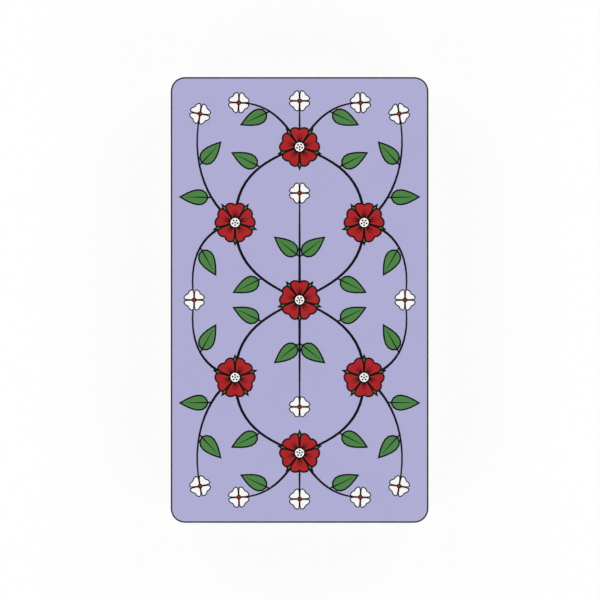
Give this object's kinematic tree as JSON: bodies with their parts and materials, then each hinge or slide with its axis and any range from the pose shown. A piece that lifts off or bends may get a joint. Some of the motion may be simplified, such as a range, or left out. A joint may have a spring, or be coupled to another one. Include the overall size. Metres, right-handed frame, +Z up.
{
  "type": "tarot card deck",
  "caption": "Deck of tarot cards squared up face down: thin rounded-corner cards with a floral back, each free to slide sideways out of the pack.",
  "frame": {"origin": "centre of the pack's underside, on the surface that the pack lies on", "axes": "+Z up, out of the patterned backs; +Y along the length of the cards; +X across their width"},
  "size_m": [0.0702, 0.1212, 0.0273],
  "materials": {
    "printed_card": "satin"
  },
  "bodies": {
    "trump_00_fool": {"trump_00_fool": "printed_card"},
    "trump_01_magician": {"trump_01_magician": "printed_card"},
    "trump_02_high_priestess": {"trump_02_high_priestess": "printed_card"},
    "trump_03_empress": {"trump_03_empress": "printed_card"},
    "trump_04_emperor": {"trump_04_emperor": "printed_card"},
    "trump_05_hierophant": {"trump_05_hierophant": "printed_card"},
    "trump_06_lovers": {"trump_06_lovers": "printed_card"},
    "trump_07_chariot": {"trump_07_chariot": "printed_card"},
    "trump_08_strength": {"trump_08_strength": "printed_card"},
    "trump_09_hermit": {"trump_09_hermit": "printed_card"},
    "trump_10_wheel_of_fortune": {"trump_10_wheel_of_fortune": "printed_card"},
    "trump_11_justice": {"trump_11_justice": "printed_card"},
    "trump_12_hanged_man": {"trump_12_hanged_man": "printed_card"},
    "trump_13_death": {"trump_13_death": "printed_card"},
    "trump_14_temperance": {"trump_14_temperance": "printed_card"},
    "trump_15_devil": {"trump_15_devil": "printed_card"},
    "trump_16_tower": {"trump_16_tower": "printed_card"},
    "trump_17_star": {"trump_17_star": "printed_card"},
    "trump_18_moon": {"trump_18_moon": "printed_card"},
    "trump_19_sun": {"trump_19_sun": "printed_card"},
    "trump_20_judgement": {"trump_20_judgement": "printed_card"},
    "trump_21_world": {"trump_21_world": "printed_card"},
    "wands_ace": {"wands_ace": "printed_card"},
    "wands_2_3": {"wands_2_3": "printed_card"},
    "wands_4_5": {"wands_4_5": "printed_card"},
    "wands_6_7": {"wands_6_7": "printed_card"},
    "wands_8_9_10": {"wands_8_9_10": "printed_card"},
    "wands_page": {"wands_page": "printed_card"},
    "wands_knight": {"wands_knight": "printed_card"},
    "wands_queen": {"wands_queen": "printed_card"},
    "wands_king": {"wands_king": "printed_card"},
    "cups_ace": {"cups_ace": "printed_card"},
    "cups_2_3": {"cups_2_3": "printed_card"},
    "cups_4_5": {"cups_4_5": "printed_card"},
    "cups_6_7": {"cups_6_7": "printed_card"},
    "cups_8_9_10": {"cups_8_9_10": "printed_card"},
    "cups_page": {"cups_page": "printed_card"},
    "cups_knight": {"cups_knight": "printed_card"},
    "cups_queen": {"cups_queen": "printed_card"},
    "cups_king": {"cups_king": "printed_card"},
    "swords_ace": {"swords_ace": "printed_card"},
    "swords_2_3": {"swords_2_3": "printed_card"},
    "swords_4_5": {"swords_4_5": "printed_card"},
    "swords_6_7": {"swords_6_7": "printed_card"},
    "swords_8_9_10": {"swords_8_9_10": "printed_card"},
    "swords_page": {"swords_page": "printed_card"},
    "swords_knight": {"swords_knight": "printed_card"},
    "swords_queen": {"swords_queen": "printed_card"},
    "swords_king": {"swords_king": "printed_card"},
    "pentacles_ace": {"pentacles_ace": "printed_card"},
    "pentacles_2_3": {"pentacles_2_3": "printed_card"},
    "pentacles_4_5": {"pentacles_4_5": "printed_card"},
    "pentacles_6_7": {"pentacles_6_7": "printed_card"},
    "pentacles_8_9_10": {"pentacles_8_9_10": "printed_card"},
    "pentacles_page": {"pentacles_page": "printed_card"},
    "pentacles_knight": {"pentacles_knight": "printed_card"},
    "pentacles_queen": {"pentacles_queen": "printed_card"},
    "pentacles_king": {"pentacles_king": "printed_card"}
  },
  "joints": [
    {"name": "draw_trump_01_magician", "type": "slide", "parent": "trump_00_fool", "child": "trump_01_magician", "axis": [1, 0, 0], "range_m": [-0.072, 0.072]},
    {"name": "draw_trump_02_high_priestess", "type": "slide", "parent": "trump_00_fool", "child": "trump_02_high_priestess", "axis": [1, 0, 0], "range_m": [-0.072, 0.072]},
    {"name": "draw_trump_03_empress", "type": "slide", "parent": "trump_00_fool", "child": "trump_03_empress", "axis": [1, 0, 0], "range_m": [-0.072, 0.072]},
    {"name": "draw_trump_04_emperor", "type": "slide", "parent": "trump_00_fool", "child": "trump_04_emperor", "axis": [1, 0, 0], "range_m": [-0.072, 0.072]},
    {"name": "draw_trump_05_hierophant", "type": "slide", "parent": "trump_00_fool", "child": "trump_05_hierophant", "axis": [1, 0, 0], "range_m": [-0.072, 0.072]},
    {"name": "draw_trump_06_lovers", "type": "slide", "parent": "trump_00_fool", "child": "trump_06_lovers", "axis": [1, 0, 0], "range_m": [-0.072, 0.072]},
    {"name": "draw_trump_07_chariot", "type": "slide", "parent": "trump_00_fool", "child": "trump_07_chariot", "axis": [1, 0, 0], "range_m": [-0.072, 0.072]},
    {"name": "draw_trump_08_strength", "type": "slide", "parent": "trump_00_fool", "child": "trump_08_strength", "axis": [1, 0, 0], "range_m": [-0.072, 0.072]},
    {"name": "draw_trump_09_hermit", "type": "slide", "parent": "trump_00_fool", "child": "trump_09_hermit", "axis": [1, 0, 0], "range_m": [-0.072, 0.072]},
    {"name": "draw_trump_10_wheel_of_fortune", "type": "slide", "parent": "trump_00_fool", "child": "trump_10_wheel_of_fortune", "axis": [1, 0, 0], "range_m": [-0.072, 0.072]},
    {"name": "draw_trump_11_justice", "type": "slide", "parent": "trump_00_fool", "child": "trump_11_justice", "axis": [1, 0, 0], "range_m": [-0.072, 0.072]},
    {"name": "draw_trump_12_hanged_man", "type": "slide", "parent": "trump_00_fool", "child": "trump_12_hanged_man", "axis": [1, 0, 0], "range_m": [-0.072, 0.072]},
    {"name": "draw_trump_13_death", "type": "slide", "parent": "trump_00_fool", "child": "trump_13_death", "axis": [1, 0, 0], "range_m": [-0.072, 0.072]},
    {"name": "draw_trump_14_temperance", "type": "slide", "parent": "trump_00_fool", "child": "trump_14_temperance", "axis": [1, 0, 0], "range_m": [-0.072, 0.072]},
    {"name": "draw_trump_15_devil", "type": "slide", "parent": "trump_00_fool", "child": "trump_15_devil", "axis": [1, 0, 0], "range_m": [-0.072, 0.072]},
    {"name": "draw_trump_16_tower", "type": "slide", "parent": "trump_00_fool", "child": "trump_16_tower", "axis": [1, 0, 0], "range_m": [-0.072, 0.072]},
    {"name": "draw_trump_17_star", "type": "slide", "parent": "trump_00_fool", "child": "trump_17_star", "axis": [1, 0, 0], "range_m": [-0.072, 0.072]},
    {"name": "draw_trump_18_moon", "type": "slide", "parent": "trump_00_fool", "child": "trump_18_moon", "axis": [1, 0, 0], "range_m": [-0.072, 0.072]},
    {"name": "draw_trump_19_sun", "type": "slide", "parent": "trump_00_fool", "child": "trump_19_sun", "axis": [1, 0, 0], "range_m": [-0.072, 0.072]},
    {"name": "draw_trump_20_judgement", "type": "slide", "parent": "trump_00_fool", "child": "trump_20_judgement", "axis": [1, 0, 0], "range_m": [-0.072, 0.072]},
    {"name": "draw_trump_21_world", "type": "slide", "parent": "trump_00_fool", "child": "trump_21_world", "axis": [1, 0, 0], "range_m": [-0.072, 0.072]},
    {"name": "draw_wands_ace", "type": "slide", "parent": "trump_00_fool", "child": "wands_ace", "axis": [1, 0, 0], "range_m": [-0.072, 0.072]},
    {"name": "draw_wands_2_3", "type": "slide", "parent": "trump_00_fool", "child": "wands_2_3", "axis": [1, 0, 0], "range_m": [-0.072, 0.072]},
    {"name": "draw_wands_4_5", "type": "slide", "parent": "trump_00_fool", "child": "wands_4_5", "axis": [1, 0, 0], "range_m": [-0.072, 0.072]},
    {"name": "draw_wands_6_7", "type": "slide", "parent": "trump_00_fool", "child": "wands_6_7", "axis": [1, 0, 0], "range_m": [-0.072, 0.072]},
    {"name": "draw_wands_8_9_10", "type": "slide", "parent": "trump_00_fool", "child": "wands_8_9_10", "axis": [1, 0, 0], "range_m": [-0.072, 0.072]},
    {"name": "draw_wands_page", "type": "slide", "parent": "trump_00_fool", "child": "wands_page", "axis": [1, 0, 0], "range_m": [-0.072, 0.072]},
    {"name": "draw_wands_knight", "type": "slide", "parent": "trump_00_fool", "child": "wands_knight", "axis": [1, 0, 0], "range_m": [-0.072, 0.072]},
    {"name": "draw_wands_queen", "type": "slide", "parent": "trump_00_fool", "child": "wands_queen", "axis": [1, 0, 0], "range_m": [-0.072, 0.072]},
    {"name": "draw_wands_king", "type": "slide", "parent": "trump_00_fool", "child": "wands_king", "axis": [1, 0, 0], "range_m": [-0.072, 0.072]},
    {"name": "draw_cups_ace", "type": "slide", "parent": "trump_00_fool", "child": "cups_ace", "axis": [1, 0, 0], "range_m": [-0.072, 0.072]},
    {"name": "draw_cups_2_3", "type": "slide", "parent": "trump_00_fool", "child": "cups_2_3", "axis": [1, 0, 0], "range_m": [-0.072, 0.072]},
    {"name": "draw_cups_4_5", "type": "slide", "parent": "trump_00_fool", "child": "cups_4_5", "axis": [1, 0, 0], "range_m": [-0.072, 0.072]},
    {"name": "draw_cups_6_7", "type": "slide", "parent": "trump_00_fool", "child": "cups_6_7", "axis": [1, 0, 0], "range_m": [-0.072, 0.072]},
    {"name": "draw_cups_8_9_10", "type": "slide", "parent": "trump_00_fool", "child": "cups_8_9_10", "axis": [1, 0, 0], "range_m": [-0.072, 0.072]},
    {"name": "draw_cups_page", "type": "slide", "parent": "trump_00_fool", "child": "cups_page", "axis": [1, 0, 0], "range_m": [-0.072, 0.072]},
    {"name": "draw_cups_knight", "type": "slide", "parent": "trump_00_fool", "child": "cups_knight", "axis": [1, 0, 0], "range_m": [-0.072, 0.072]},
    {"name": "draw_cups_queen", "type": "slide", "parent": "trump_00_fool", "child": "cups_queen", "axis": [1, 0, 0], "range_m": [-0.072, 0.072]},
    {"name": "draw_cups_king", "type": "slide", "parent": "trump_00_fool", "child": "cups_king", "axis": [1, 0, 0], "range_m": [-0.072, 0.072]},
    {"name": "draw_swords_ace", "type": "slide", "parent": "trump_00_fool", "child": "swords_ace", "axis": [1, 0, 0], "range_m": [-0.072, 0.072]},
    {"name": "draw_swords_2_3", "type": "slide", "parent": "trump_00_fool", "child": "swords_2_3", "axis": [1, 0, 0], "range_m": [-0.072, 0.072]},
    {"name": "draw_swords_4_5", "type": "slide", "parent": "trump_00_fool", "child": "swords_4_5", "axis": [1, 0, 0], "range_m": [-0.072, 0.072]},
    {"name": "draw_swords_6_7", "type": "slide", "parent": "trump_00_fool", "child": "swords_6_7", "axis": [1, 0, 0], "range_m": [-0.072, 0.072]},
    {"name": "draw_swords_8_9_10", "type": "slide", "parent": "trump_00_fool", "child": "swords_8_9_10", "axis": [1, 0, 0], "range_m": [-0.072, 0.072]},
    {"name": "draw_swords_page", "type": "slide", "parent": "trump_00_fool", "child": "swords_page", "axis": [1, 0, 0], "range_m": [-0.072, 0.072]},
    {"name": "draw_swords_knight", "type": "slide", "parent": "trump_00_fool", "child": "swords_knight", "axis": [1, 0, 0], "range_m": [-0.072, 0.072]},
    {"name": "draw_swords_queen", "type": "slide", "parent": "trump_00_fool", "child": "swords_queen", "axis": [1, 0, 0], "range_m": [-0.072, 0.072]},
    {"name": "draw_swords_king", "type": "slide", "parent": "trump_00_fool", "child": "swords_king", "axis": [1, 0, 0], "range_m": [-0.072, 0.072]},
    {"name": "draw_pentacles_ace", "type": "slide", "parent": "trump_00_fool", "child": "pentacles_ace", "axis": [1, 0, 0], "range_m": [-0.072, 0.072]},
    {"name": "draw_pentacles_2_3", "type": "slide", "parent": "trump_00_fool", "child": "pentacles_2_3", "axis": [1, 0, 0], "range_m": [-0.072, 0.072]},
    {"name": "draw_pentacles_4_5", "type": "slide", "parent": "trump_00_fool", "child": "pentacles_4_5", "axis": [1, 0, 0], "range_m": [-0.072, 0.072]},
    {"name": "draw_pentacles_6_7", "type": "slide", "parent": "trump_00_fool", "child": "pentacles_6_7", "axis": [1, 0, 0], "range_m": [-0.072, 0.072]},
    {"name": "draw_pentacles_8_9_10", "type": "slide", "parent": "trump_00_fool", "child": "pentacles_8_9_10", "axis": [1, 0, 0], "range_m": [-0.072, 0.072]},
    {"name": "draw_pentacles_page", "type": "slide", "parent": "trump_00_fool", "child": "pentacles_page", "axis": [1, 0, 0], "range_m": [-0.072, 0.072]},
    {"name": "draw_pentacles_knight", "type": "slide", "parent": "trump_00_fool", "child": "pentacles_knight", "axis": [1, 0, 0], "range_m": [-0.072, 0.072]},
    {"name": "draw_pentacles_queen", "type": "slide", "parent": "trump_00_fool", "child": "pentacles_queen", "axis": [1, 0, 0], "range_m": [-0.072, 0.072]},
    {"name": "draw_pentacles_king", "type": "slide", "parent": "trump_00_fool", "child": "pentacles_king", "axis": [1, 0, 0], "range_m": [-0.072, 0.072]}
  ]
}
